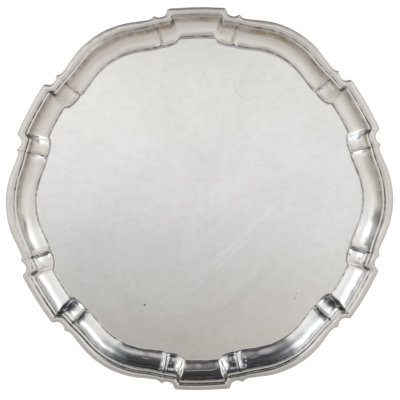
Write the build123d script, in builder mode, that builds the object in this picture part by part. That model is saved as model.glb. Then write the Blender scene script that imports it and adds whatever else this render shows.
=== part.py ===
from build123d import *
import os
from math import sin, cos, radians, degrees, atan2, hypot, sqrt

# Silver salver with a border of six lobes and six stepped tabs, on three cast feet.
# Millimetres, +Z up, origin on the supporting surface under the centre of the well.
# One tab faces +Y, one faces -Y, and two lobes lie on the X axis.

os.makedirs("parts", exist_ok=True)

# ---- driving dimensions --------------------------------------------------
FOOT_H = 13.8  # from the table to the underside of the plate
PLATE_T = 1.0  # gauge of the well plate
WELL_Z = FOOT_H + PLATE_T  # upper face of the well
LAP = 2.5  # how far the plate runs under the border
LAP_GAP = 0.15  # solder gap round the plate's edge
SHELL_T = 1.1  # wall of the border behind the cavetto
NOSE_H = 0.35  # height of the border's inner edge over the well
SLOPE_IN = 16.0  # slope of the cavetto where it meets the well, degrees

# Plan of the border, as stations: (angle, outer radius, angle, inner radius,
# how far in from the outer edge the groove runs), the angles in degrees from the
# middle of the lobe or of the tab. Lobes and tabs meet at the pointed cusp, where
# both lists end; the groove runs smoothly past it.
LOBE = [
    (0.00, 152.50, 0.00, 130.45, 6.30),
    (2.20, 152.33, 2.20, 130.28, 6.28),
    (4.40, 151.91, 4.40, 129.85, 6.25),
    (6.50, 151.28, 6.50, 129.13, 6.20),
    (8.50, 150.39, 8.50, 128.31, 6.10),
    (10.40, 149.26, 10.40, 127.29, 5.95),
    (12.10, 148.24, 12.10, 126.46, 5.70),
    (13.50, 147.48, 13.50, 125.95, 5.30),
    (14.60, 147.08, 14.60, 125.63, 5.02),
    (15.40, 147.00, 15.40, 125.52, 4.92),
    (16.00, 147.20, 16.00, 125.51, 5.07),
    (16.45, 147.59, 16.45, 125.61, 5.45),
    (16.85, 148.21, 16.85, 125.74, 6.05),
    (17.25, 149.00, 17.25, 125.95, 6.85),
]
TAB = [
    (0.00, 151.40, 0.00, 129.75, 5.75),
    (1.50, 151.42, 1.12, 129.75, 5.75),
    (3.00, 151.47, 2.25, 129.76, 5.75),
    (4.40, 151.57, 3.30, 129.76, 5.75),
    (5.60, 151.69, 4.23, 129.76, 5.75),
    (6.60, 151.83, 5.04, 129.68, 5.77),
    (7.40, 151.99, 5.72, 129.42, 5.85),
    (7.95, 152.02, 6.20, 129.00, 6.02),
    (8.35, 151.79, 6.65, 128.43, 6.30),
    (8.65, 150.89, 7.10, 127.77, 6.45),
    (8.95, 149.41, 7.60, 126.99, 6.20),
    (9.30, 148.15, 8.20, 126.30, 5.70),
    (9.75, 147.38, 8.90, 125.85, 5.20),
    (10.30, 146.89, 9.75, 125.54, 4.85),
    (10.95, 146.75, 10.65, 125.44, 4.70),
    (11.60, 147.13, 11.50, 125.49, 5.05),
    (12.20, 147.90, 12.20, 125.66, 5.80),
    (12.75, 149.00, 12.75, 125.95, 6.85),
]

# Section of the border: s runs inwards from the outer edge, z up from the well.
# The mouldings are given for a groove at GROOVE_AT, and slide in or out with it.
GROOVE_AT = 6.10
LIP_UNDER = (0.60, 7.70)
LIP_SIDE = (0.0, 8.70)
LIP_BULGE = (0.80, 10.40)
LIP_TOP = (3.10, 11.25)
LIP_IN = (5.62, 10.05)
GROOVE = (6.10, 9.70)
BEAD_OUT = (6.52, 10.00)
BEAD_TOP = (7.38, 10.50)
BEAD_IN = (8.14, 10.06)
QUIRK = (9.02, 9.06)
COVE_TOP = (9.90, 8.20)
BACK_TOP = (5.90, 8.35)

# Feet, each one casting of a cabriole leg, a pad and a leaf-shaped flange.
FOOT_ANGLES = (90.0, 210.0, 330.0)  # under every second tab
FLANGE_T = 1.0
FLANGE_R = 116.0  # radius of the flange's middle
# leg sections from the flange down: height, radius of the middle, half width
# along the radius, half width across it
LEG = [
    (FOOT_H - FLANGE_T / 2, 116.5, 8.0, 7.2),
    (11.3, 118.2, 7.0, 6.3),
    (9.4, 120.0, 5.3, 5.0),
    (7.4, 121.7, 3.9, 3.9),
    (5.4, 123.2, 3.3, 3.3),
    (3.4, 124.5, 3.7, 3.6),
    (1.4, 125.7, 5.2, 4.9),
]
PAD_H = 1.4
PAD_EDGE = 0.5  # rounding of the pad where it meets the table

def slid(point, groove):
    """A point of the mouldings, moved inwards with the groove; the edge stays."""
    share = min(1.0, max(0.0, (point[0] - 0.6) / 4.6))
    return (point[0] + (groove - GROOVE_AT) * share, point[1])


def section(width, groove):
    """Points of the border's section where the border is width wide in plan."""
    top, low = slid(COVE_TOP, groove), (width, NOSE_H)
    # the cavetto is one arc that leaves the well at SLOPE_IN
    run, rise = low[0] - top[0], top[1] - low[1]
    lean = degrees(atan2(rise, run))
    rad = hypot(run, rise) / (2 * sin(radians(lean - SLOPE_IN)))
    cx = low[0] + rad * sin(radians(SLOPE_IN))
    cz = low[1] + rad * cos(radians(SLOPE_IN))

    def on_arc(r, slope):
        return (cx - r * sin(radians(slope)), cz - r * cos(radians(slope)))

    steep = 2 * lean - SLOPE_IN
    back = rad + SHELL_T
    foot_s = width - LAP - 2.3
    slope_foot = degrees(atan2(cx - foot_s, sqrt(back * back - (cx - foot_s) ** 2)))
    slope_top = steep - 8.0
    return dict(
        bulge=slid(LIP_BULGE, groove),
        crown=slid(LIP_TOP, groove),
        lip_in=slid(LIP_IN, groove),
        groove=slid(GROOVE, groove),
        bead_out=slid(BEAD_OUT, groove),
        bead_top=slid(BEAD_TOP, groove),
        bead_in=slid(BEAD_IN, groove),
        quirk=slid(QUIRK, groove),
        top=top,
        mid=on_arc(rad, (steep + SLOPE_IN) / 2),
        low=low,
        toe=(width, 0.0),
        lap=(width - LAP, 0.0),
        rebate=(width - LAP, -PLATE_T),
        heel=(width - LAP - 1.7, -PLATE_T),
        back_low=on_arc(back, slope_foot),
        back_mid=on_arc(back, (slope_foot + slope_top) / 2),
        back_high=on_arc(back, slope_top),
    )


def ends(turn, ang_out, r_out, ang_in, r_in, groove):
    """Outer and inner points of a station in plan, at the height of the well."""
    ao, ai = radians(turn + ang_out), radians(turn + ang_in)
    outer = Vector(r_out * cos(ao), r_out * sin(ao), WELL_Z)
    inner = Vector(r_in * cos(ai), r_in * sin(ai), WELL_Z)
    return outer, inner


def whole(stations):
    """The half list mirrored into the full run of stations."""
    left = [(-a, b, -c, d, g) for a, b, c, d, g in reversed(stations[1:])]
    return left + list(stations)


# ---- border: six lobes and six tabs, each a casting ------------------------
for kind, stations, start in (("lobe", LOBE, 0.0), ("tab", TAB, 30.0)):
    for i in range(6):
        with BuildPart() as border:
            for st in whole(stations):
                outer, inner = ends(start + 60.0 * i, *st)
                inward = (inner - outer).normalized()
                p = section((inner - outer).length, st[4])
                plane = Plane(
                    origin=outer, x_dir=inward, z_dir=inward.cross(Vector(0, 0, 1))
                )
                with BuildSketch(plane):
                    with BuildLine():
                        Line(LIP_UNDER, LIP_SIDE)
                        Spline(
                            LIP_SIDE, p["bulge"], p["crown"], p["lip_in"],
                            tangents=[(0, 1), (0.75, -0.66)],
                        )
                        ThreePointArc(p["lip_in"], p["groove"], p["bead_out"])
                        ThreePointArc(p["bead_out"], p["bead_top"], p["bead_in"])
                        Line(p["bead_in"], p["quirk"])
                        Line(p["quirk"], p["top"])
                        ThreePointArc(p["top"], p["mid"], p["low"])
                        Line(p["low"], p["toe"])
                        Line(p["toe"], p["lap"])
                        Line(p["lap"], p["rebate"])
                        Line(p["rebate"], p["heel"])
                        Line(p["heel"], p["back_low"])
                        ThreePointArc(p["back_low"], p["back_mid"], p["back_high"])
                        Line(p["back_high"], BACK_TOP)
                        Line(BACK_TOP, LIP_UNDER)
                    make_face()
            loft()
        border.part.label = f"{kind}_border_{i + 1}"
        export_step(border.part, f"parts/{kind}_border_{i + 1}.step")
        print(border.part.label, round(border.part.volume, 1), border.part.is_valid)

# ---- well plate: its edge follows the border's rebate ----------------------
runs = []
for i in range(6):
    for stations, start in ((LOBE, 0.0), (TAB, 30.0)):
        run = []
        for st in whole(stations):
            outer, inner = ends(start + 60.0 * i, *st)
            edge = inner + (outer - inner).normalized() * (LAP - LAP_GAP)
            run.append((edge.X, edge.Y))
        runs.append(run)

with BuildPart() as well_plate:
    with BuildSketch(Plane.XY.offset(FOOT_H)):
        with BuildLine():
            for run in runs:
                Spline(*run)
        make_face()
    extrude(amount=PLATE_T)
well_plate.part.label = "well_plate"
export_step(well_plate.part, "parts/well_plate.step")
print("well_plate", round(well_plate.part.volume, 1), well_plate.part.is_valid)

# ---- feet -------------------------------------------------------------------
for i, angle in enumerate(FOOT_ANGLES):
    a = radians(angle)
    out = Vector(cos(a), sin(a), 0)
    with BuildPart() as foot:
        # pad, rounded where it stands on the table
        pad_plane = Plane(origin=out * LEG[-1][1], x_dir=out, z_dir=(0, 0, 1))
        with BuildSketch(pad_plane):
            Ellipse(LEG[-1][2], LEG[-1][3])
        extrude(amount=PAD_H)
        fillet(foot.edges().group_by(Axis.Z)[0], radius=PAD_EDGE)
        # cabriole leg down to the pad
        for z, r_mid, half_r, half_t in LEG:
            leg_plane = Plane(
                origin=out * r_mid + Vector(0, 0, z), x_dir=out, z_dir=(0, 0, 1)
            )
            with BuildSketch(leg_plane):
                Ellipse(half_r, half_t)
        loft()
        # leaf-shaped flange, soldered to the underside of the plate
        flange_plane = Plane(
            origin=out * FLANGE_R + Vector(0, 0, FOOT_H - FLANGE_T),
            x_dir=out,
            z_dir=(0, 0, 1),
        )
        with BuildSketch(flange_plane):
            Ellipse(10.5, 8.5)
            with Locations((-7.5, 0)):
                Circle(5.2)
            with Locations((-1.5, 8.0), (-1.5, -8.0)):
                Circle(4.4)
        extrude(amount=FLANGE_T)
    foot.part.label = f"foot_{i + 1}"
    export_step(foot.part, f"parts/foot_{i + 1}.step")
    print(foot.part.label, round(foot.part.volume, 1), foot.part.is_valid)
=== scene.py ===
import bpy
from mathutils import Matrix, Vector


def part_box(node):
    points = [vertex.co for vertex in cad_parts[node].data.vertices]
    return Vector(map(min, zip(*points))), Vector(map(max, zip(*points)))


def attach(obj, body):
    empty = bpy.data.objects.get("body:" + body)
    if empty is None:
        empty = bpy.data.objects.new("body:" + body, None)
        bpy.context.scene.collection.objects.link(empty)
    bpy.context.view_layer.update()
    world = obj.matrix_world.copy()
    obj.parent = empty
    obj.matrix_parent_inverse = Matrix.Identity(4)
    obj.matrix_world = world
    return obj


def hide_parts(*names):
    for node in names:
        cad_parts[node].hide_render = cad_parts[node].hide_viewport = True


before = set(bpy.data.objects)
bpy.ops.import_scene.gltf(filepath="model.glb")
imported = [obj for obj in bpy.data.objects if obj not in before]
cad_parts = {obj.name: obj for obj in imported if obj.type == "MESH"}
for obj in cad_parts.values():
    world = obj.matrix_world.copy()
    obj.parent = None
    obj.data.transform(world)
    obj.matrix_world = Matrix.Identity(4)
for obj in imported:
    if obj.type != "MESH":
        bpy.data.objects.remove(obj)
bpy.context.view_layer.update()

from math import acos, atan2, cos, degrees, hypot, pi, radians, sin, sqrt, tan

import bpy
import numpy as np
from mathutils import Matrix, Vector

# Silver salver: polished cast border of six lobes and six stepped tabs round a satin well, on
# three cast feet. Every length below is in millimetres and is turned into metres in mesh().

MM = 0.001
plate_low, plate_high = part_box("well_plate")
WELL_Z = plate_high[2] / MM  # upper face of the well
UNDER_Z = plate_low[2] / MM  # underside of the plate
LAP, LAP_GAP = 2.5, 0.15  # the border's toe lies on the plate by this much
EDGE_IN = 0.06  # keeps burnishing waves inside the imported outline
CREASE_TAB, CREASE_LOBE = 12.75, 17.25  # degrees from the middle of a tab or lobe to the cusp

# ---- numbers and curves ----------------------------------------------------


def pchip(keys):
    """Shape-keeping cubic through keys that starts level."""
    x, y = np.array(keys, float).T
    h, d = np.diff(x), np.diff(y) / np.diff(x)
    m = np.zeros(len(x))
    for i in range(1, len(x) - 1):
        if d[i - 1] * d[i] > 0:
            a, b = 2 * h[i] + h[i - 1], h[i] + 2 * h[i - 1]
            m[i] = (a + b) / (a / d[i - 1] + b / d[i])
    m[-1] = d[-1]

    def at(q):
        q = np.clip(q, x[0], x[-1])
        i = np.clip(np.searchsorted(x, q, side="right") - 1, 0, len(x) - 2)
        t = (q - x[i]) / h[i]
        return (
            (2 * t**3 - 3 * t**2 + 1) * y[i]
            + (t**3 - 2 * t**2 + t) * h[i] * m[i]
            + (3 * t**2 - 2 * t**3) * y[i + 1]
            + (t**3 - t**2) * h[i] * m[i + 1]
        )

    return at


def gauss(values, sigma):
    """Gaussian smoothing of evenly spaced values, sigma in samples, ends kept."""
    n = max(1, int(4 * sigma))
    k = np.exp(-0.5 * (np.arange(-n, n + 1) / sigma) ** 2)
    return np.convolve(values, k / k.sum(), mode="valid")


STEP = 0.02  # degrees


def outline(keys, broad, fine, sharp_from, even_start=True):
    """Keys made into a smooth radius by angle: broad smoothing in the middle, fine at the step."""
    end = keys[-1][0]
    grid = np.arange(0, end + STEP / 2, STEP)
    v = pchip(keys)(grid)

    def smooth(sigma_deg):
        n = max(1, int(4 * sigma_deg / STEP))
        left = v[n:0:-1] if even_start else 2 * v[0] - v[n:0:-1]
        right = 2 * v[-1] - v[-2 : -n - 2 : -1]
        return gauss(np.concatenate([left, v, right]), sigma_deg / STEP)

    w = np.clip((sharp_from - grid) / 2.5, 0, 1)
    w = w * w * (3 - 2 * w)
    out = w * smooth(broad) + (1 - w) * smooth(fine)
    return lambda q: np.interp(q, grid, out)


lobe_out = outline([(0, 152.5), (2, 152.35), (4, 152.0), (6, 151.45), (8, 150.65), (10, 149.5), (12, 148.3), (14, 147.28), (15.2, 146.98), (16, 147.2), (16.5, 147.65), (16.9, 148.3), (17.25, 149.0)], 1.4, 0.22, 15.5)
lobe_in = outline([(0, 130.45), (2, 130.30), (4, 129.95), (6, 129.30), (8, 128.55), (10, 127.50), (12, 126.50), (14, 125.80), (15.2, 125.53), (16, 125.51), (16.7, 125.68), (17.25, 125.95)], 1.4, 0.35, 16.0)
tab_out = outline([(0, 151.40), (2, 151.43), (3.5, 151.50), (5.5, 151.68), (7.0, 151.90), (7.7, 152.03), (8.1, 152.0), (8.38, 151.75), (8.6, 151.1), (8.75, 150.4), (8.92, 149.55), (9.1, 148.75), (9.3, 148.15), (9.6, 147.60), (10.0, 147.1), (10.4, 146.85), (10.9, 146.75), (11.5, 147.05), (12.0, 147.6), (12.4, 148.25), (12.75, 149.0)], 1.0, 0.10, 6.0)
tab_soft = outline([(0, 151.40), (2, 151.43), (3.5, 151.50), (5.5, 151.68), (7.0, 151.90), (7.7, 152.03), (8.1, 152.0), (8.38, 151.75), (8.6, 151.1), (8.75, 150.4), (8.92, 149.55), (9.1, 148.75), (9.3, 148.15), (9.6, 147.60), (10.0, 147.1), (10.4, 146.85), (10.9, 146.75), (11.5, 147.05), (12.0, 147.6), (12.4, 148.25), (12.75, 149.0)], 1.0, 0.46, 6.0)  # the same step as the cavetto rounds it off
tab_in = outline([(0, 129.75), (3, 129.76), (5.3, 129.80), (5.85, 129.70), (6.15, 129.35), (6.4, 128.70), (6.65, 128.00), (7.0, 127.40), (7.5, 126.85), (8.2, 126.32), (8.9, 125.92), (9.8, 125.58), (10.6, 125.48), (11.4, 125.50), (12.1, 125.66), (12.75, 125.95)], 1.0, 0.11, 4.5)
tab_lean = outline([(0, 0), (2, 1.5), (4, 3.0), (6, 4.5), (7.2, 5.42), (7.9, 5.95), (8.35, 6.30), (8.65, 6.60), (8.95, 6.95), (9.3, 7.45), (9.75, 8.2), (10.3, 9.1), (10.95, 10.15), (11.6, 11.2), (12.2, 12.05), (12.75, 12.75)], 0.6, 0.16, 6.0, even_start=False)
# how far in from the outer edge the groove behind the lip runs; the cusp doesn't disturb it
tab_groove = outline([(0, 5.75), (6.5, 5.75), (7.8, 5.90), (8.35, 6.30), (8.65, 6.55), (8.95, 6.20), (9.3, 5.70), (9.75, 5.20), (10.3, 4.85), (10.95, 4.70), (11.6, 5.05), (12.2, 5.80), (12.75, 6.85)], 1.0, 0.12, 6.0)
lobe_groove = outline([(0, 6.30), (4.4, 6.25), (6.5, 6.20), (8.5, 6.10), (10.4, 5.95), (12.1, 5.70), (13.5, 5.30), (14.6, 5.00), (15.3, 4.90), (16.0, 5.05), (16.45, 5.45), (16.85, 6.05), (17.25, 6.85)], 1.4, 0.22, 15.5)


def natural(points, spacing, count=None):
    """Samples about spacing apart, or count of them, of the natural cubic spline through points."""
    p = np.array(points, float)
    t = np.concatenate([[0], np.cumsum(np.hypot(*np.diff(p, axis=0).T))])
    n, h = len(t), np.diff(t)
    a = np.eye(n)
    for i in range(1, n - 1):
        a[i, i - 1 : i + 2] = h[i - 1], 2 * (h[i - 1] + h[i]), h[i]
    rhs = np.zeros((n, 2))
    rhs[1:-1] = 6 * (np.diff(p[1:], axis=0) / h[1:, None] - np.diff(p[:-1], axis=0) / h[:-1, None])
    m = np.linalg.solve(a, rhs)
    q = np.linspace(0, t[-1], count or max(3, int(t[-1] / spacing) + 1))
    i = np.clip(np.searchsorted(t, q, side="right") - 1, 0, n - 2)
    u, v, hh = (t[i + 1] - q)[:, None], (q - t[i])[:, None], h[i][:, None]
    return (
        m[i] * u**3 / (6 * hh)
        + m[i + 1] * v**3 / (6 * hh)
        + (p[i] / hh - m[i] * hh / 6) * u
        + (p[i + 1] / hh - m[i + 1] * hh / 6) * v
    )


def field(seed, count, low, high, flat=0.25):
    """A smooth random field of plane waves, between low and high mm long, with rms 1."""
    r = np.random.default_rng(seed)
    az = r.uniform(0, 2 * pi, count)
    length = np.exp(r.uniform(np.log(low), np.log(high), count))
    k = np.stack([np.cos(az), np.sin(az), r.uniform(-flat, flat, count)], 1) * (2 * pi / length)[:, None]
    phase, amp = r.uniform(0, 2 * pi, count), (length / high) ** 1.1
    amp /= np.sqrt((amp**2).sum() / 2)
    return lambda p: (np.cos(p @ k.T + phase) * amp).sum(-1)


def step(x, a, b):
    """Smooth step from 0 at a to 1 at b."""
    t = np.clip((x - a) / (b - a), 0, 1)
    return t * t * (3 - 2 * t)


def bump(x, centre, width):
    return np.exp(-(((x - centre) / width) ** 2))


# ---- the border's section --------------------------------------------------
# s runs inwards from the outer edge and z up from the well. The order is: under the lip, over it,
# down the groove, over the arris, down the cavetto to the nose, and back along the underside.

LIP = [(0.62, 7.72), (0.14, 8.10), (0.0, 8.72), (0.06, 9.66), (0.30, 10.50), (0.82, 11.00), (1.60, 11.18), (2.60, 11.23), (3.70, 11.19), (4.50, 10.98), (5.12, 10.48), (5.55, 9.98)]
GROOVE = [(5.55, 9.98), (5.84, 9.54), (6.13, 9.40), (6.45, 9.74)]
BEAD = [(6.45, 9.74), (6.70, 10.12), (7.00, 10.39), (7.42, 10.47), (7.86, 10.40), (8.22, 10.00)]
QUIRK = [(8.22, 10.00), (8.60, 9.54), (9.00, 9.08), (9.45, 8.62), (9.90, 8.15)]
NOSE_H, SLOPE_IN, SHELL_T = 0.42, 16.0, 1.1


def section(width, groove_at):
    """Closed loop of (s, z) for one station, the same number of points at every station."""

    def wide(pts):
        extra = groove_at - 6.1
        return [(s + extra * min(1.0, max(0.0, (s - 0.6) / 4.6)), z) for s, z in pts]

    lip, groove, bead, quirk = wide(LIP), wide(GROOVE), wide(BEAD), wide(QUIRK)
    top, low = quirk[-1], (width, NOSE_H)
    run, rise = low[0] - top[0], top[1] - low[1]
    lean = degrees(atan2(rise, run))
    rad = hypot(run, rise) / (2 * sin(radians(lean - SLOPE_IN)))
    cx, cz = low[0] + rad * sin(radians(SLOPE_IN)), low[1] + rad * cos(radians(SLOPE_IN))
    arc = lambda r, a: np.stack([cx - r * np.sin(np.radians(a)), cz - r * np.cos(np.radians(a))], 1)
    steep = 2 * lean - SLOPE_IN
    shy = degrees(0.75 / rad)
    cove = arc(rad, np.linspace(steep, SLOPE_IN + shy, 420))
    a, b, c = cove[-1], np.array([width - 0.02, NOSE_H + 0.10]), np.array([width, 0.0])
    t = np.linspace(0, 1, 24)[:, None]
    nose = (1 - t) ** 2 * a + 2 * t * (1 - t) * b + t**2 * c
    parts = [natural(lip, 0.05), natural(groove, 0.05), natural(bead, 0.05), natural(quirk, 0.05), cove, nose]
    counts = [30, 9, 14, 9, 36, 9]
    raw = np.concatenate([p if i == 0 else p[1:] for i, p in enumerate(parts)])
    run = np.concatenate([[0], np.cumsum(np.hypot(*np.diff(raw, axis=0).T))])
    even = np.arange(0, run[-1], 0.05)
    fine = np.stack([np.interp(even, run, raw[:, 0]), np.interp(even, run, raw[:, 1])], 1)
    n, sig = 12, 2.0
    pad = np.concatenate([2 * fine[0] - fine[n:0:-1], fine, 2 * fine[-1] - fine[-2 : -n - 2 : -1]])
    kern = np.exp(-0.5 * (np.arange(-n, n + 1) / sig) ** 2)
    kern /= kern.sum()
    fine = np.stack([np.convolve(pad[:, j], kern, mode="valid") for j in (0, 1)], 1)
    ends = [0]
    for p in parts:
        ends.append(ends[-1] + len(p) - 1)
    ends = run[ends]
    last = len(parts) - 1
    at = np.concatenate([np.linspace(ends[i], ends[i + 1], counts[i] + 1)[: counts[i] + (i == last)] for i in range(len(parts))])
    face = np.stack([np.interp(at, even, fine[:, 0]), np.interp(at, even, fine[:, 1])], 1)
    face[-1] = (width, 0.0)
    # underside, from the toe outwards
    back = rad + SHELL_T
    foot = width - LAP - 2.3
    a_foot = degrees(atan2(cx - foot, sqrt(max(1e-6, back**2 - (cx - foot) ** 2))))
    hollow = arc(back, np.linspace(a_foot, steep - 8.0, 22))
    under = np.concatenate(
        [
            [(width - 1.2, 0.0), (width - LAP, 0.0), (width - LAP, UNDER_Z - WELL_Z), (width - LAP - 1.7, UNDER_Z - WELL_Z)],
            hollow,
            natural([tuple(hollow[-1]), (6.4, 8.15), (4.6, 8.55), (3.0, 8.40), (1.35, 7.82), (0.62, 7.72)], 0, 15)[1:-1],
        ]
    )
    return face, under


FACE = len(section(21.8, 6.1)[0])  # points on the seen side
LOOP = FACE + len(section(21.8, 6.1)[1])


def halves(spans):
    """Angles from the middle to the crease, with a spacing for each span, mirrored."""
    a = [0.0]
    for end, gap in spans:
        n = max(1, round((end - a[-1]) / gap))
        a += list(np.linspace(a[-1], end, n + 1)[1:])
    a = np.array(a)
    return np.concatenate([-a[:0:-1], a])


TAB_AT = halves([(5.0, 0.42), (7.2, 0.24), (7.9, 0.14), (9.4, 0.07), (10.4, 0.14), (12.0, 0.20), (12.75, 0.10)])
LOBE_AT = halves([(12.0, 0.42), (15.5, 0.26), (16.5, 0.18), (17.25, 0.10)])

wave = field(11, 40, 9.0, 34.0)
ripple = field(23, 30, 4.0, 9.0)
wander = field(37, 24, 12.0, 70.0)


def rail(kind, offset):
    """Outer and inner points of a station, offset in degrees from the middle of its piece."""
    a, side = abs(offset), (1 if offset >= 0 else -1)
    if kind == "tab":
        ai = float(tab_lean(a))
        return (float(tab_out(a)) - EDGE_IN, offset), (float(tab_in(ai)), side * ai), float(tab_groove(a))
    return (float(lobe_out(a)) - EDGE_IN, offset), (float(lobe_in(a)), offset), float(lobe_groove(a))


def stations(kind, middle):
    """Radius and angle of the outer and inner ends, groove's place, and mm along to the crease."""
    rows = []
    for off in TAB_AT if kind == "tab" else LOBE_AT:
        (ro, ao), (ri, ai), g = rail(kind, float(off))
        edge = (CREASE_TAB if kind == "tab" else CREASE_LOBE) - abs(float(off))
        g += 0.10 * float(wander(np.array([ro * cos(radians(middle + ao)), ro * sin(radians(middle + ao)), 0.0])))
        rows.append((ro, radians(middle + ao), ri, radians(middle + ai), g, edge * radians(1) * 137.0))
    return rows


def turn(t):
    """How much of a station's lean is done a share t of the way in: most of it by the mouldings."""
    t = np.clip(t, 0, 1)
    return ((t + 0.03) ** 0.6 - 0.03**0.6) / (1.03**0.6 - 0.03**0.6)


def mesh(name, verts, faces, attrs=None):
    me = bpy.data.meshes.new(name)
    me.from_pydata((np.asarray(verts) * MM).tolist(), [], [tuple(map(int, f)) for f in faces])
    me.validate()
    for key, values in (attrs or {}).items():
        me.attributes.new(key, "FLOAT", "POINT").data.foreach_set("value", np.asarray(values, np.float32))
    me.polygons.foreach_set("use_smooth", [True] * len(me.polygons))
    me.update()
    ob = bpy.data.objects.new(name, me)
    bpy.context.scene.collection.objects.link(ob)
    return ob


# Unevenness round the border, by degrees: how strongly tarnish and painted shade darken the mouldings, and how much
# painted shade greys the lip, most on the lower side.
TARNISH_AND_SHADE_BY_TURN = [(0, 0.9), (60, 0.72), (90, 0.55), (108, 0.62), (120, 0.42), (130, 0.70), (150, 0.95), (174, 0.9), (186, 0.50), (200, 0.60), (212, 1.0), (222, 1.2), (240, 1.0), (285, 1.25), (297, 1.1), (312, 0.80), (324, 0.50), (333, 0.60), (345, 0.9), (360, 0.9)]
LIP_SHADE_BY_TURN = [(0, 0.14), (12, 0.10), (40, 0.0), (54, 0.30), (66, 0.10), (84, 0.40), (96, 0.10), (102, 0.0), (180, 0.12), (192, 0.20), (206, 0.50), (216, 0.25), (234, 0.22), (244, 0.55), (270, 0.75), (288, 1.0), (298, 0.45), (312, 0.0), (320, 0.25), (334, 0.40), (344, 0.0), (352, 0.0), (360, 0.14)]

# How strongly a brown painted reflection lies over the bead and quirk, by degrees: strongest on the upper side and
# none on the lower; it also weakens the painted shade at the creases.
BROWN_REFLECTION_BY_TURN = [(0, 0.35), (30, 0.50), (50, 0.80), (60, 1.0), (100, 1.0), (120, 0.85), (135, 0.60), (160, 0.70), (178, 0.55), (186, 0.0), (335, 0.0), (345, 0.20), (360, 0.35)]


def around(turned, table):
    x, y = np.array(table, float).T
    return float(np.interp(degrees(turned) % 360.0, x, y))


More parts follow.
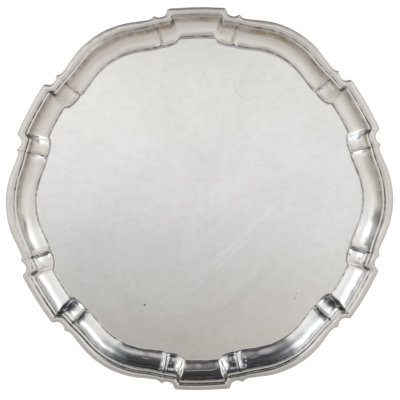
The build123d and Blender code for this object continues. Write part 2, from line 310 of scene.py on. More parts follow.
def border_piece(kind, number, middle):
    rows = stations(kind, middle)
    n = len(rows)
    grid = np.zeros((n, LOOP, 3))
    tarnish_and_shade, lip, dull, brown_reflection, push = np.zeros((n, LOOP)), np.zeros((n, LOOP)), np.zeros((n, LOOP)), np.zeros((n, LOOP)), np.zeros((n, FACE))
    for i, (ro, ao, ri, ai, g, edge) in enumerate(rows):
        w = ro - ri
        face, under = section(w, g)
        sz = np.concatenate([face, under])
        a = ao + (ai - ao) * turn(sz[:, 0] / w)
        r = ro - sz[:, 0]
        if kind == "tab":
            deg = CREASE_TAB - edge / 137.0 / radians(1)
            q = face[:, 0]
            r[:FACE] += (float(tab_soft(deg)) - EDGE_IN - ro) * step(q, g + 3.3, g + 7.0) * (1 - step(q, w - 5.0, w - 0.5))
        grid[i, :, 0] = r * np.cos(a)
        grid[i, :, 1] = r * np.sin(a)
        grid[i, :, 2] = WELL_Z + sz[:, 1]
        s, z = face.T
        cove = step(s, g + 3.3, g + 4.3) * (1 - step(s, w - 1.4, w - 0.5))  # 1 over the cavetto
        # tarnish left by polishing, with painted shade: darker in the groove, in the quirk under the bead, at the
        # well, under the lip, and in the corners at the creases and the tabs' shoulders
        tarnish_and_shade_here = around(ao, TARNISH_AND_SHADE_BY_TURN)
        # painted shade over the groove and the quirk round the bead, leaving the bead's top bright
        t = 0.55 * step(s, g - 1.2, g - 0.3) * (1 - step(s, g + 2.9, g + 3.9)) * (1 - 0.95 * bump(s, g + 1.4, 0.60)) * tarnish_and_shade_here
        t = np.maximum(t, 1.00 * bump(s, g + 0.05, 0.52) * tarnish_and_shade_here)
        t = np.maximum(t, 0.62 * bump(s, g + 3.0, 0.55) * (0.5 + 0.5 * tarnish_and_shade_here))
        t = np.maximum(t, 0.66 * step(s, w - 1.60, w - 0.80))
        # painted shade under the rolled edge of the lip
        t = np.maximum(t, 0.50 * step(-z, -8.7, -7.8) * (s < 3))
        high = step(s, g + 3.0, g + 3.8) * (1 - 0.55 * step(s, g + 6.5, g + 10.0))
        # painted shade along the crease where the castings meet
        t = np.maximum(t, 0.95 * bump(edge, 0.0, 0.36) * high)
        t = np.maximum(t, (1.10 - 0.42 * around(ao, BROWN_REFLECTION_BY_TURN)) * bump(edge, 0.2, 1.0) * bump(s, g + 2.7, 1.6))
        if kind == "tab":
            # painted shade along the tab's S-shaped shoulder
            shoulder = (edge / 137.0 / radians(1) - (CREASE_TAB - 8.75)) * radians(1) * 145
            t = np.maximum(t, (1.25 - 0.35 * around(ao, BROWN_REFLECTION_BY_TURN)) * bump(shoulder, 0.2, 1.9) * bump(s, g + 1.9, 2.7))
            t = np.maximum(t, 0.66 * bump(shoulder, 0.9, 0.55) * high)
        tarnish_and_shade[i, :FACE] = t
        # painted shade: the underside a little darker all over
        tarnish_and_shade[i, FACE:] = 0.14
        lip[i, :FACE] = 1 - step(s, g - 1.6, g - 0.7) + 0.9 * (1 - step(s, 0.5, 1.9))
        lip[i, FACE:] = 1.0
        # painted shade on the lip, by how far round the border it lies
        dull[i, :FACE] = around(ao, LIP_SHADE_BY_TURN) * (1 - step(s, g - 2.0, g - 0.6))
        # brown painted reflection over the bead and quirk
        brown_reflection[i, :FACE] = around(ao, BROWN_REFLECTION_BY_TURN) * step(s, g + 0.7, g + 1.8) * (1 - step(s, g + 3.8, g + 6.4))
        # castings meet in a chased channel between two small rolls, and the knuckle swells
        channel = -0.46 * np.exp(-((edge / 1.35) ** 4)) + 0.10 * bump(edge, 2.1, 0.55)
        if kind == "lobe":
            channel = 0.55 * channel - 0.80 * bump(edge, 0.0, 2.7)
        else:
            channel -= 0.36 * bump(edge, 0.0, 1.0)
        push[i] = cove * (channel - 0.14 * bump(edge, 0.0, 0.30))
        if kind == "tab":
            u = min(1.0, max(0.0, (deg - 9.05) / (12.75 - 9.05)))
            push[i] += 0.95 * (1 - (2 * u - 1) ** 2) * step(s, g + 3.4, g + 6.0) * (1 - step(s, w - 3.6, w - 0.5))
    # normals of the seen face, for the burnishing waves and the bead
    f = grid[:, :FACE]
    du = np.gradient(f, axis=0)
    dv = np.gradient(f, axis=1)
    nrm = np.cross(du, dv)
    nrm /= np.linalg.norm(nrm, axis=2, keepdims=True) + 1e-12
    nrm *= np.sign(nrm[:, FACE // 2, 2])[:, None, None]
    free = np.ones(FACE)
    free[:3] = 0
    free[-4:] = (0.6, 0.3, 0, 0)
    push += (0.040 * wave(f) + 0.007 * ripple(f)) * free
    f += nrm * push[:, :, None]
    verts = grid.reshape(-1, 3)
    faces = []
    for i in range(n - 1):
        a, b = i * LOOP, (i + 1) * LOOP
        for j in range(LOOP):
            q = (j + 1) % LOOP
            faces.append((a + j, a + q, b + q, b + j))
    faces.append(tuple(range(LOOP - 1, -1, -1)))
    faces.append(tuple((n - 1) * LOOP + j for j in range(LOOP)))
    ob = mesh(f"{kind}_border_{number}_cast", verts, faces, {"tarnish_and_shade": tarnish_and_shade.reshape(-1), "lip": lip.reshape(-1), "dull": dull.reshape(-1), "brown_reflection": brown_reflection.reshape(-1)})
    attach(ob, "root")
    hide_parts(f"{kind}_border_{number}")
    return ob


border = []
for i in range(6):
    border.append(border_piece("lobe", i + 1, 60.0 * i))
    border.append(border_piece("tab", i + 1, 30.0 + 60.0 * i))

# ---- the well plate ----------------------------------------------------------


def well_plate():
    inner, outward = [], []
    for i in range(6):
        for kind, middle in (("lobe", 60.0 * i), ("tab", 60.0 * i + 30.0)):
            for ro, ao, ri, ai, g, edge in stations(kind, middle)[:-1]:
                inner.append((ri * cos(ai), ri * sin(ai)))
                outward.append((cos(ai), sin(ai)))
    inner, outward = np.array(inner), np.array(outward)
    m = len(inner)
    radius = np.hypot(*inner.T)
    # distance in from the nose, then out under the toe
    depth = [1 / 40 * (40 - j) for j in range(1, 38)]
    rings, z, tarnish_and_shade_rings = [], [], []
    sag = field(5, 26, 45.0, 150.0, 0.0)
    level = lambda p: 0.045 * sag(np.concatenate([p, np.zeros((len(p), 1))], 1)) * (1 - step(np.hypot(*p.T), 104.0, 121.0))
    for t in depth[::-1]:  # from near the centre outwards
        p = inner * t
        rings.append(p)
        z.append(level(p))
        tarnish_and_shade_rings.append(np.zeros(m))
    for gap in (7.0, 4.6, 3.2, 2.4, 1.8, 1.4, 1.15, 0.95, 0.75, 0.55, 0.35, 0.18, 0.0):
        p = inner * (1 - gap / radius)[:, None]
        if np.hypot(*(inner[0] * depth[0])) > np.hypot(*p[0]) - 0.2:
            continue
        rings.append(p)
        z.append(level(p) - 0.16 * bump(gap, 0.30, 0.42))
        # painted shade: a dark line at the well's edge, by the nose of the border
        tarnish_and_shade_rings.append(np.full(m, 0.66 * bump(gap, 0.0, 0.36)))
    for out in (0.8, LAP - LAP_GAP):
        rings.append(inner + outward * out)
        z.append(np.full(m, -0.02 if out < 1 else 0.0))
        # painted shade under the border's toe
        tarnish_and_shade_rings.append(np.full(m, 0.6))
    count = len(rings)
    thick = UNDER_Z - WELL_Z
    for t, p in list(zip([1.0], [inner + outward * (LAP - LAP_GAP)])) + [(t, inner * t) for t in (0.985, 0.9, 0.75, 0.6, 0.45, 0.3, 0.15)]:
        rings.append(p)
        z.append(np.full(m, thick))
        # painted shade: the underside a little darker all over
        tarnish_and_shade_rings.append(np.full(m, 0.12))
    verts = [np.array([[0, 0, WELL_Z + float(level(np.zeros((1, 2)))[0])]])]
    for p, h in zip(rings, z):
        verts.append(np.concatenate([p, WELL_Z + h[:, None]], 1))
    verts.append(np.array([[0, 0, UNDER_Z]]))
    verts = np.concatenate(verts)
    tarnish_and_shade_values = np.concatenate([[0], np.concatenate(tarnish_and_shade_rings), [0.12]])
    faces = []
    for j in range(m):
        faces.append((0, 1 + j, 1 + (j + 1) % m))
    for r in range(len(rings) - 1):
        a, b = 1 + r * m, 1 + (r + 1) * m
        for j in range(m):
            q = (j + 1) % m
            faces.append((a + j, b + j, b + q, a + q))
    last, a = len(verts) - 1, 1 + (len(rings) - 1) * m
    for j in range(m):
        faces.append((last, a + (j + 1) % m, a + j))
    ob = mesh("well_plate_sheet", verts, faces, {"tarnish_and_shade": tarnish_and_shade_values})
    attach(ob, "root")
    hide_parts("well_plate")
    return ob


well = well_plate()

# ---- materials ---------------------------------------------------------------


class Tree:
    """Short calls for building a node tree."""

    def __init__(self, tree):
        self.t = tree
        tree.nodes.clear()

    def node(self, kind, inputs=None, **props):
        n = self.t.nodes.new(kind)
        for k, v in props.items():
            setattr(n, k, v)
        for k, v in (inputs or {}).items():
            self.put(n.inputs[k], v)
        return n

    def put(self, socket, v):
        if isinstance(v, bpy.types.NodeSocket):
            self.t.links.new(v, socket)
        elif isinstance(v, (tuple, list)) and socket.type == "RGBA" and len(v) == 3:
            socket.default_value = (*v, 1.0)
        else:
            socket.default_value = v

    def math(self, op, a, b=0.0, clamp=False):
        n = self.node("ShaderNodeMath", operation=op, use_clamp=clamp)
        self.put(n.inputs[0], a)
        self.put(n.inputs[1], b)
        return n.outputs[0]

    def mix(self, fac, a, b, blend="MIX"):
        n = self.node("ShaderNodeMix", data_type="RGBA", blend_type=blend, clamp_factor=True)
        self.put(n.inputs[0], fac)
        self.put(n.inputs[6], a)
        self.put(n.inputs[7], b)
        return n.outputs[2]

    def remap(self, v, a, b, c=0.0, d=1.0, smooth=False):
        n = self.node("ShaderNodeMapRange", interpolation_type="SMOOTHSTEP" if smooth else "LINEAR")
        for i, q in enumerate((v, a, b, c, d)):
            self.put(n.inputs[i], q)
        return n.outputs[0]

    def ramp(self, fac, stops, how="LINEAR"):
        n = self.node("ShaderNodeValToRGB")
        self.put(n.inputs[0], fac)
        r = n.color_ramp
        r.interpolation = how
        while len(r.elements) < len(stops):
            r.elements.new(0.5)
        for e, (p, c) in zip(r.elements, sorted(stops)):
            e.position = p
        for e, (p, c) in zip(r.elements, sorted(stops)):
            e.color = (*(c if isinstance(c, tuple) else (c, c, c)), 1.0)
        return n.outputs[0]

    def noise(self, vec, scale, detail=2.0, rough=0.5, distortion=0.0):
        n = self.node("ShaderNodeTexNoise", {"Vector": vec, "Scale": scale, "Detail": detail, "Roughness": rough, "Distortion": distortion})
        return n.outputs[0]

    def flat(self, vec):
        return self.node("ShaderNodeVectorMath", {0: vec, 1: (1.0, 1.0, 0.0)}, operation="MULTIPLY").outputs[0]

    def place(self, vec, angle, scale, shift=(0, 0, 0)):
        """Coordinates turned to run along angle, then scaled and shifted."""
        n = self.node("ShaderNodeMapping", {"Vector": vec, "Rotation": (0, 0, -radians(angle))}, vector_type="POINT")
        n = self.node("ShaderNodeMapping", {"Vector": n.outputs[0], "Location": shift, "Scale": scale}, vector_type="POINT")
        return n.outputs[0]


def scratches(t, pos, angles, length, width, lo, hi, seed):
    """Fine lines in several directions, 0 to 1. length and width are in millimetres."""
    bend = t.node("ShaderNodeTexNoise", {"Vector": pos, "Scale": 14.0, "Detail": 1.0})
    warp = t.node("ShaderNodeVectorMath", operation="MULTIPLY_ADD")
    t.put(warp.inputs[0], bend.outputs[1])
    warp.inputs[1].default_value = (0.006, 0.006, 0.0)
    t.put(warp.inputs[2], pos)
    total = None
    for i, a in enumerate(angles):
        v = t.place(warp.outputs[0], a, (1 / (length * MM), 1 / (width * MM), 1 / (length * MM)), (seed + 3.1 * i, 1.7 * i, 0.4 * i))
        line = t.remap(t.noise(v, 1.0, 2.0, 0.6), lo, hi)
        total = line if total is None else t.math("MAXIMUM", total, line)
    return total


LIP_TONE, LIP_WARM = (0.900, 0.865, 0.825), (0.860, 0.815, 0.770)


def spot(t, pos, x, y, radius, soft=0.5):
    """1 inside a small round mark at x, y, falling to 0 at its rim. Millimetres."""
    d = t.node("ShaderNodeVectorMath", {0: t.flat(pos), 1: (x * MM, y * MM, 0.0)}, operation="DISTANCE").outputs["Value"]
    return t.remap(d, radius * MM, radius * (1 - soft) * MM, smooth=True)


def ring(t, pos, x, y, radius, width):
    """A thin circle round x, y, such as a glass leaves, broken up by noise."""
    d = t.node("ShaderNodeVectorMath", {0: t.flat(pos), 1: (x * MM, y * MM, 0.0)}, operation="DISTANCE").outputs["Value"]
    off = t.math("ABSOLUTE", t.math("SUBTRACT", d, radius * MM))
    line = t.remap(off, width * MM, 0.0, smooth=True)
    return t.math("MULTIPLY", line, t.remap(t.noise(pos, 70.0, 2.0), 0.42, 0.62, smooth=True))


def dash(t, pos, x, y, angle, length, width):
    """A short straight scratch centred on x, y."""
    a = radians(angle)
    along = t.node("ShaderNodeVectorMath", {0: t.node("ShaderNodeVectorMath", {0: t.flat(pos), 1: (x * MM, y * MM, 0.0)}, operation="SUBTRACT").outputs[0], 1: (cos(a), sin(a), 0.0)}, operation="DOT_PRODUCT").outputs["Value"]
    across = t.node("ShaderNodeVectorMath", {0: t.node("ShaderNodeVectorMath", {0: t.flat(pos), 1: (x * MM, y * MM, 0.0)}, operation="SUBTRACT").outputs[0], 1: (-sin(a), cos(a), 0.0)}, operation="DOT_PRODUCT").outputs["Value"]
    one = t.remap(t.math("ABSOLUTE", along), length * MM / 2, length * MM / 4, smooth=True)
    return t.math("MULTIPLY", one, t.remap(t.math("ABSOLUTE", across), width * MM, 0.0, smooth=True))


def silver(name, base, warm, rough, haze, tarnish_and_shade_colour, stain_and_shade_amount, lines, swirl, lip_rough=0.0, wear=None, dents=()):
    m = bpy.data.materials.new(name)
    m.use_nodes = True
    t = Tree(m.node_tree)
    pos = t.node("ShaderNodeTexCoord").outputs["Object"]
    bsdf = t.node("ShaderNodeBsdfPrincipled")
    out = t.node("ShaderNodeOutputMaterial")
    t.put(out.inputs[0], bsdf.outputs[0])
    bsdf.inputs["Metallic"].default_value = 1.0
    cloud = t.remap(t.noise(pos, 22.0, 3.0, 0.55), 0.35, 0.65, smooth=True)
    worn = t.node("ShaderNodeAttribute", attribute_name="lip", attribute_type="GEOMETRY").outputs["Fac"]
    fine = t.noise(pos, 420.0, 3.0, 0.6)
    # tarnish together with painted shade from the mesh's mask: darkens the colour and roughens it
    tarnish_and_shade_mask = t.node("ShaderNodeAttribute", attribute_name="tarnish_and_shade", attribute_type="GEOMETRY").outputs["Fac"]
    broken = t.math("ADD", tarnish_and_shade_mask, t.math("MULTIPLY", t.math("SUBTRACT", t.noise(pos, 190.0, 5.0, 0.7), 0.5), 1.05))
    stain_and_shade = t.math("MULTIPLY", t.remap(broken, 0.28, 0.95, smooth=True), stain_and_shade_amount)
    colour = t.mix(cloud, base, warm)
    if lip_rough:
        colour = t.mix(worn, colour, t.mix(cloud, LIP_TONE, LIP_WARM))
        tone = t.node("ShaderNodeAttribute", attribute_name="dull", attribute_type="GEOMETRY").outputs["Fac"]
        brown_reflection_mask = t.node("ShaderNodeAttribute", attribute_name="brown_reflection", attribute_type="GEOMETRY").outputs["Fac"]
        streaky = t.remap(t.noise(pos, 95.0, 4.0, 0.65), 0.30, 0.62, 0.45, 1.0)
        # brown painted reflection over the bead and quirk, broken up by streaks
        colour = t.mix(t.math("MULTIPLY", brown_reflection_mask, streaky), colour, (0.500, 0.415, 0.340))
        # painted shade: the lip greyed by how far round the border it lies
        colour = t.mix(t.math("MULTIPLY", tone, t.remap(t.noise(pos, 60.0, 3.0, 0.6), 0.25, 0.60, 0.45, 1.0)), colour, (0.62, 0.605, 0.585))
    for lift, c in (wear(t, pos) if wear else ()):
        colour = t.mix(lift, colour, c)
    # tarnish and painted shade darken the colour
    colour = t.mix(stain_and_shade, colour, tarnish_and_shade_colour)
    t.put(bsdf.inputs["Base Color"], colour)
    mark = scratches(t, pos, lines["angles"], lines["length"], lines["width"], lines["lo"], lines["hi"], 2.0)
    r = t.remap(t.noise(pos, 34.0, 4.0, 0.6), 0.3, 0.7, rough - haze, rough + haze)
    r = t.math("ADD", r, t.math("MULTIPLY", mark, lines["rough"]))
    if lip_rough:
        r = t.math("ADD", r, t.math("MULTIPLY", worn, lip_rough))
    r = t.math("ADD", r, t.math("MULTIPLY", stain_and_shade, 0.07), clamp=True)
    t.put(bsdf.inputs["Roughness"], r)
    height = t.math("ADD", t.math("MULTIPLY", mark, -lines["deep"]), t.math("MULTIPLY", fine, swirl))
    for x, y, radius, deep in dents:
        height = t.math("SUBTRACT", height, t.math("MULTIPLY", spot(t, pos, x, y, radius, 1.0), deep))
    b = t.node("ShaderNodeBump", {"Strength": 1.0, "Distance": 0.001, "Height": height})
    t.put(bsdf.inputs["Normal"], b.outputs[0])
    return m, t, bsdf


def well_wear(t, pos):
    """Wipe marks, mottling, glass rings, a light scratch and dark pits, as (mask, colour) pairs."""
    below = spot(t, pos, 14.0, -55.0, 84.0, 0.75)
    wipes = t.noise(t.place(pos, 43.0, (13.0, 110.0, 13.0), (1.3, 0.2, 0.0)), 1.0, 4.0, 0.6, 0.4)
    wipes = t.math("MULTIPLY", t.remap(wipes, 0.50, 0.72, smooth=True), t.math("MULTIPLY", below, 0.55))
    long = t.math("MAXIMUM", dash(t, pos, 35.0, -27.0, 42.0, 100.0, 3.2), dash(t, pos, 25.0, -43.0, 45.0, 46.0, 2.4))
    wipes = t.math("MAXIMUM", wipes, t.math("MULTIPLY", long, t.remap(t.noise(pos, 120.0, 3.0, 0.6), 0.25, 0.60)))
    dull = t.noise(t.place(pos, 43.0, (8.0, 75.0, 8.0), (4.1, 2.2, 0.0)), 1.0, 3.0, 0.55, 0.3)
    dull = t.math("MULTIPLY", t.remap(dull, 0.50, 0.70, smooth=True), below)
    grain = t.noise(t.place(pos, 4.0, (150.0, 260.0, 150.0)), 1.0, 4.0, 0.65)
    blotch = t.noise(pos, 130.0, 4.0, 0.6)
    patch = t.remap(t.noise(pos, 38.0, 3.0, 0.6), 0.40, 0.64, smooth=True)
    rings = t.math("MAXIMUM", ring(t, pos, 41.0, 93.0, 12.5, 1.1), ring(t, pos, 17.0, 110.0, 15.0, 1.1))
    rings = t.math("MAXIMUM", rings, ring(t, pos, -7.0, 104.0, 7.0, 1.0))
    pits = t.math("MAXIMUM", spot(t, pos, -45.6, -83.2, 1.2), spot(t, pos, 77.0, -75.6, 0.7))
    pits = t.math("MAXIMUM", pits, t.math("MULTIPLY", spot(t, pos, 76.0, -79.5, 0.8), 0.7))
    pits = t.math("MAXIMUM", pits, t.math("MULTIPLY", spot(t, pos, -58.5, -64.0, 0.8), 0.5))
    specks = t.remap(t.node("ShaderNodeTexVoronoi", {"Vector": pos, "Scale": 75.0}).outputs["Distance"], 0.075, 0.03)
    light = t.math("MAXIMUM", dash(t, pos, -106.0, -18.5, 42.0, 9.0, 0.55), t.math("MULTIPLY", dash(t, pos, -103.0, -21.0, 50.0, 5.0, 0.4), 0.7))
    light = t.math("MAXIMUM", light, t.math("MULTIPLY", spot(t, pos, -54.3, -67.4, 1.3), 0.8))
    bright, mid = (1.0, 1.0, 1.0), (0.78, 0.77, 0.75)
    return (
        (t.math("MULTIPLY", patch, 0.12), mid),
        (t.math("MULTIPLY", t.remap(grain, 0.42, 0.70), 0.20), mid),
        (t.math("MULTIPLY", t.remap(blotch, 0.45, 0.68), 0.24), mid),
        (t.math("MULTIPLY", dull, 0.30), mid),
        (t.math("MULTIPLY", wipes, 0.70), bright),
        (t.math("MULTIPLY", rings, 0.26), (0.62, 0.60, 0.56)),
        (t.math("MULTIPLY", specks, 0.20), (0.55, 0.52, 0.48)),
        (t.math("MULTIPLY", pits, 0.75), (0.18, 0.15, 0.12)),
        (light, bright),
    )


border_mat, _, _ = silver(
    "border_silver_polished", (0.955, 0.945, 0.925), (0.930, 0.912, 0.880), 0.035, 0.015, (0.105, 0.084, 0.068), 0.90,
    {"angles": (12, 57, 98, 141), "length": 9.0, "width": 0.16, "lo": 0.66, "hi": 0.74, "rough": 0.04, "deep": 0.0012}, 0.00010, 0.20,
    dents=((34.8, -127.1, 1.0, 0.26), (35.5, -129.3, 0.9, 0.24), (35.0, -132.6, 1.2, 0.36), (-97.0, 83.5, 0.8, 0.10), (118.0, -55.0, 0.7, 0.08)),
)
well_mat, wt, wb = silver(
    "well_silver_satin", (0.948, 0.944, 0.936), (0.934, 0.928, 0.915), 0.150, 0.025, (0.30, 0.24, 0.19), 0.80,
    {"angles": (8, 37, 71, 104, 133, 162), "length": 16.0, "width": 0.22, "lo": 0.62, "hi": 0.72, "rough": 0.05, "deep": 0.0016}, 0.00030, wear=well_wear,
)
foot_mat, _, _ = silver(
    "foot_silver_cast", (0.945, 0.935, 0.910), (0.915, 0.895, 0.860), 0.14, 0.040, (0.24, 0.19, 0.14), 0.85,
    {"angles": (20, 80, 130), "length": 6.0, "width": 0.20, "lo": 0.66, "hi": 0.74, "rough": 0.06, "deep": 0.0015}, 0.00020,
)
for ob in border:
    ob.data.materials.append(border_mat)
well.data.materials.append(well_mat)
for i in (1, 2, 3):
    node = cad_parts[f"foot_{i}"]
    for s in node.material_slots:
        s.material = foot_mat

# ---- floor, world and camera -------------------------------------------------

bpy.ops.mesh.primitive_circle_add(vertices=96, radius=3.2, fill_type="NGON", location=(0, 0, 0))
floor = bpy.context.object
floor.name = "floor"
fm = bpy.data.materials.new("pale_floor")
fm.use_nodes = True
t = Tree(fm.node_tree)
path = t.node("ShaderNodeLightPath")
pos = t.node("ShaderNodeTexCoord").outputs["Object"]
away = t.node("ShaderNodeVectorMath", {0: pos}, operation="LENGTH").outputs["Value"]
near = t.mix(t.noise(pos, 6.0, 3.0), (0.50, 0.495, 0.485), (0.54, 0.535, 0.525))
tone = t.mix(t.remap(away, 0.2, 0.9, smooth=True), near, (0.42, 0.415, 0.41))
diff = t.node("ShaderNodeBsdfDiffuse", {"Color": tone})
glow = t.node("ShaderNodeEmission", {"Color": (1.0, 1.0, 1.0), "Strength": t.math("MULTIPLY", path.outputs["Is Camera Ray"], 0.80)})
add = t.node("ShaderNodeAddShader")
t.put(add.inputs[0], diff.outputs[0])
t.put(add.inputs[1], glow.outputs[0])
out = t.node("ShaderNodeOutputMaterial")
t.put(out.inputs[0], add.outputs[0])
floor.data.materials.append(fm)

world = bpy.data.worlds.new("studio")
bpy.context.scene.world = world
world.use_nodes = True
t = Tree(world.node_tree)
sky = t.node("ShaderNodeTexCoord").outputs["Generated"]
xyz = t.node("ShaderNodeSeparateXYZ", {0: sky})
theta = t.math("DIVIDE", t.math("ARCCOSINE", xyz.outputs[2]), pi)  # 0 overhead, 1 straight down
alpha = t.math("FRACT", t.math("DIVIDE", t.math("ARCTAN2", xyz.outputs[1], xyz.outputs[0]), 2 * pi))


def by_height(stops):
    return t.ramp(theta, [(a / 180, c) for a, c in stops])


def by_turn(stops):
    return t.ramp(alpha, [(a / 360, c) for a, c in stops])


# Light levels of the studio by direction: soft panels to the left and right, a plain grey wall
# behind the camera, and a dark opening across the top. Azimuth in degrees, then the level at each
# of these angles from overhead.
HEIGHTS = (0, 3, 6, 10, 14, 18, 23, 28, 33, 38, 43, 48, 53, 58, 63, 68, 73, 78, 84, 91, 180)
LEVELS = {
    0: (0.78, 0.78, 0.77, 0.76, 0.75, 0.72, 0.70, 0.68, 0.67, 0.64, 0.66, 0.68, 0.71, 0.73, 0.69, 0.64, 0.63, 0.57, 0.45, 0.45, 0.50),
    10: (0.78, 0.78, 0.77, 0.76, 0.75, 0.72, 0.70, 0.70, 0.70, 0.65, 0.68, 0.75, 0.83, 0.84, 0.84, 0.54, 0.26, 0.26, 0.55, 0.55, 0.30),
    20: (0.78, 0.78, 0.77, 0.76, 0.75, 0.72, 0.70, 0.86, 0.81, 0.79, 0.74, 0.80, 0.88, 1.10, 1.17, 1.03, 0.63, 0.46, 0.44, 0.44, 0.50),
    32: (0.78, 0.78, 0.77, 0.76, 0.75, 0.72, 0.70, 0.67, 0.71, 0.68, 0.72, 0.71, 0.73, 1.08, 1.15, 1.08, 0.69, 0.44, 0.42, 0.42, 0.50),
    44: (0.78, 0.78, 0.76, 0.74, 0.72, 0.71, 0.69, 0.71, 0.66, 0.65, 0.53, 0.46, 0.50, 0.69, 1.17, 1.14, 0.56, 0.43, 0.40, 0.40, 0.50),
    54: (0.78, 0.76, 0.74, 0.70, 0.62, 0.5, 0.4, 0.46, 0.51, 0.46, 0.30, 0.30, 0.28, 0.42, 0.5, 0.3, 0.18, 0.16, 0.34, 0.42, 0.30),
    62: (0.78, 0.76, 0.74, 0.70, 0.42, 0.16, 0.12, 0.34, 0.56, 0.5, 0.24, 0.22, 0.16, 0.22, 0.2, 0.14, 0.11, 0.055, 0.26, 0.42, 0.30),
    70: (0.78, 0.75, 0.69, 0.60, 0.36, 0.08, 0.07, 0.32, 0.52, 0.44, 0.14, 0.13, 0.05, 0.045, 0.070, 0.053, 0.046, 0.055, 0.26, 0.42, 0.30),
    80: (0.78, 0.75, 0.69, 0.60, 0.36, 0.09, 0.1, 0.42, 0.52, 0.44, 0.18, 0.08, 0.06, 0.06, 0.046, 0.034, 0.024, 0.055, 0.26, 0.42, 0.30),
    92: (0.78, 0.75, 0.69, 0.60, 0.38, 0.1, 0.05, 0.11, 0.15, 0.14, 0.12, 0.08, 0.05, 0.045, 0.04, 0.033, 0.032, 0.055, 0.26, 0.42, 0.30),
    104: (0.78, 0.75, 0.69, 0.60, 0.36, 0.09, 0.08, 0.34, 0.46, 0.4, 0.3, 0.07, 0.055, 0.06, 0.090, 0.068, 0.043, 0.055, 0.26, 0.42, 0.30),
    114: (0.78, 0.75, 0.69, 0.60, 0.4, 0.12, 0.09, 0.22, 0.3, 0.28, 0.2, 0.10, 0.087, 0.094, 0.12, 0.12, 0.094, 0.055, 0.26, 0.42, 0.30),
    124: (0.78, 0.77, 0.74, 0.69, 0.52, 0.34, 0.24, 0.26, 0.31, 0.24, 0.27, 0.21, 0.19, 0.25, 0.42, 0.4, 0.2, 0.16, 0.34, 0.42, 0.30),
    136: (0.78, 0.78, 0.79, 0.78, 0.75, 0.72, 0.69, 0.64, 0.64, 0.62, 0.52, 0.39, 0.50, 0.76, 1.09, 1.13, 1.12, 0.86, 0.45, 0.45, 0.50),
    150: (0.78, 0.80, 0.83, 0.85, 0.84, 0.83, 0.81, 0.74, 0.85, 0.76, 0.76, 0.78, 0.83, 0.88, 1.14, 1.19, 1.17, 0.65, 0.42, 0.42, 0.50),
    162: (0.78, 0.80, 0.83, 0.85, 0.84, 0.83, 0.81, 0.88, 0.90, 0.81, 0.80, 0.86, 1.13, 1.17, 1.17, 1.07, 0.67, 0.51, 0.47, 0.47, 0.50),
    172: (0.78, 0.80, 0.83, 0.85, 0.84, 0.83, 0.81, 0.66, 0.76, 0.73, 0.75, 0.82, 0.86, 0.87, 0.54, 0.33, 0.27, 0.25, 0.22, 0.25, 0.50),
    184: (0.78, 0.80, 0.83, 0.85, 0.84, 0.83, 0.81, 0.65, 0.78, 0.72, 0.74, 0.75, 0.79, 0.81, 0.78, 0.72, 0.66, 0.56, 0.45, 0.45, 0.50),
    205: (0.78, 0.79, 0.80, 0.77, 0.73, 0.71, 0.69, 0.57, 0.63, 0.68, 0.67, 0.70, 0.69, 0.65, 0.59, 0.53, 0.47, 0.44, 0.41, 0.42, 0.50),
    235: (0.78, 0.76, 0.71, 0.60, 0.48, 0.43, 0.39, 0.46, 0.47, 0.59, 0.65, 0.63, 0.60, 0.56, 0.51, 0.48, 0.45, 0.44, 0.44, 0.44, 0.50),
    265: (0.78, 0.76, 0.69, 0.59, 0.46, 0.36, 0.28, 0.28, 0.37, 0.44, 0.58, 0.62, 0.60, 0.56, 0.53, 0.51, 0.49, 0.48, 0.47, 0.44, 0.50),
    295: (0.78, 0.77, 0.72, 0.64, 0.55, 0.52, 0.49, 0.53, 0.53, 0.60, 0.59, 0.58, 0.56, 0.53, 0.51, 0.49, 0.47, 0.47, 0.47, 0.46, 0.50),
    325: (0.78, 0.78, 0.77, 0.76, 0.75, 0.72, 0.70, 0.53, 0.52, 0.59, 0.64, 0.64, 0.62, 0.59, 0.56, 0.52, 0.50, 0.49, 0.44, 0.46, 0.50),
}
TINT = by_turn([(0, (1.03, 1.0, 0.965)), (30, (1.0, 1.0, 0.99)), (56, (0.95, 1.0, 1.05)), (68, (0.96, 1.0, 1.10)), (82, (1.03, 1.0, 1.03)), (112, (0.97, 1.0, 1.12)), (128, (0.95, 1.0, 1.08)), (140, (0.965, 1.0, 1.06)), (152, (0.98, 1.0, 1.035)), (170, (0.98, 1.0, 1.03)), (190, (1.02, 1.0, 0.955)), (220, (1.045, 1.0, 0.95)), (300, (1.06, 1.0, 0.945)), (340, (1.04, 1.0, 0.96)), (360, (1.03, 1.0, 0.965))])
GAIN = 1.06  # the silver itself takes this much
turns = list(LEVELS)
total = None
for i, a in enumerate(turns):
    before, after = turns[i - 1] - (360 if i == 0 else 0), turns[(i + 1) % len(turns)] + (360 if i == len(turns) - 1 else 0)
    hat = [(0, 0.0), (before, 0.0), (a, 1.0), (after, 0.0), (360, 0.0)]
    if i == 0:
        hat = [(0, 1.0), (after, 0.0), (before + 360, 0.0), (360, 1.0)]
    elif before == 0:
        hat = hat[1:]
    elif after == 360:
        hat = hat[:-1]
    level = by_height([(h, GAIN * v) for h, v in zip(HEIGHTS, LEVELS[a])])
    part = t.mix(1.0, by_turn(hat), level, "MULTIPLY")
    total = part if total is None else t.mix(1.0, total, part, "ADD")
# one thin bright strip across the dark opening
strip = t.math("MULTIPLY", t.ramp(theta, [(48.2 / 180, 0.0), (50 / 180, 0.42), (51.8 / 180, 0.0)]), by_turn([(81, 0.0), (84, 1.0), (96, 1.0), (99, 0.0)]))
total = t.mix(1.0, total, strip, "ADD")
TINT = t.mix(t.remap(theta, 5 / 180, 55 / 180), (0.998, 1.0, 0.998), TINT)
total = t.mix(1.0, total, TINT, "MULTIPLY")
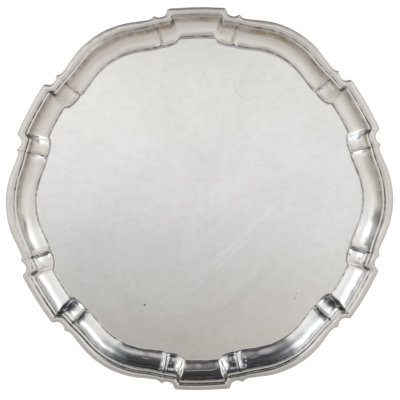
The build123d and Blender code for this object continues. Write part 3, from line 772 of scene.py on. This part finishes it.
# the ceiling is a little warmer to the front and to the back than straight overhead
lean = t.remap(xyz.outputs[1], -0.40, 0.60)
ceiling = t.ramp(lean, [(y + 0.40, c) for y, c in [(-0.40, (1.07, 1.0, 0.92)), (-0.29, (1.06, 1.0, 0.93)), (-0.23, (1.025, 1.0, 0.97)), (-0.17, (0.997, 1.0, 1.005)), (-0.05, (0.997, 1.0, 1.005)), (0.0, (1.005, 1.0, 0.99)), (0.04, (1.022, 1.0, 0.972)), (0.10, (1.022, 1.0, 0.975)), (0.35, (1.0, 1.0, 1.0))]])
ceiling = t.mix(t.remap(theta, 24 / 180, 18 / 180), (1.0, 1.0, 1.0), ceiling)
total = t.mix(1.0, total, ceiling, "MULTIPLY")
lit = t.node("ShaderNodeBackground", {0: total, 1: 1.0})
seen = t.node("ShaderNodeBackground", {0: (0.97, 0.97, 0.965), 1: 1.0})
path = t.node("ShaderNodeLightPath")
pick = t.node("ShaderNodeMixShader", {0: path.outputs["Is Camera Ray"]})
t.put(pick.inputs[1], lit.outputs[0])
t.put(pick.inputs[2], seen.outputs[0])
out = t.node("ShaderNodeOutputWorld")
t.put(out.inputs[0], pick.outputs[0])

# Camera: nearly overhead, tipped a little towards +Y, turned about a degree.
DIST, TIP_X, TIP_Y, ROLL, AIM, FOCAL_PX = 620.0, 5.5, 0.0, -0.84, (0.43, 2.82, 29.0), 794.0
away = np.array([sin(radians(TIP_Y)) * cos(radians(TIP_X)), sin(radians(TIP_X)), cos(radians(TIP_X)) * cos(radians(TIP_Y))])
eye = np.array(AIM) + away * DIST
right = np.cross(-away, np.array([0, 1.0, 0]))
right /= np.linalg.norm(right)
up = np.cross(right, -away)
c, s = cos(radians(ROLL)), sin(radians(ROLL))
r2, u2 = c * right + s * up, -s * right + c * up
cam_data = bpy.data.cameras.new("camera")
cam_data.sensor_width = 36.0
cam_data.lens = FOCAL_PX * 36.0 / 400.0
cam_data.clip_start, cam_data.clip_end = 0.01, 20.0
cam = bpy.data.objects.new("camera", cam_data)
cam.matrix_world = Matrix([[r2[i], u2[i], away[i], eye[i] * MM] for i in range(3)] + [[0, 0, 0, 1]])
bpy.context.scene.collection.objects.link(cam)
bpy.context.scene.camera = cam

bpy.context.scene.view_settings.view_transform = "Standard"
bpy.context.scene.cycles.use_denoising = True
bpy.context.scene.cycles.max_bounces = 10
bpy.context.scene.cycles.glossy_bounces = 6
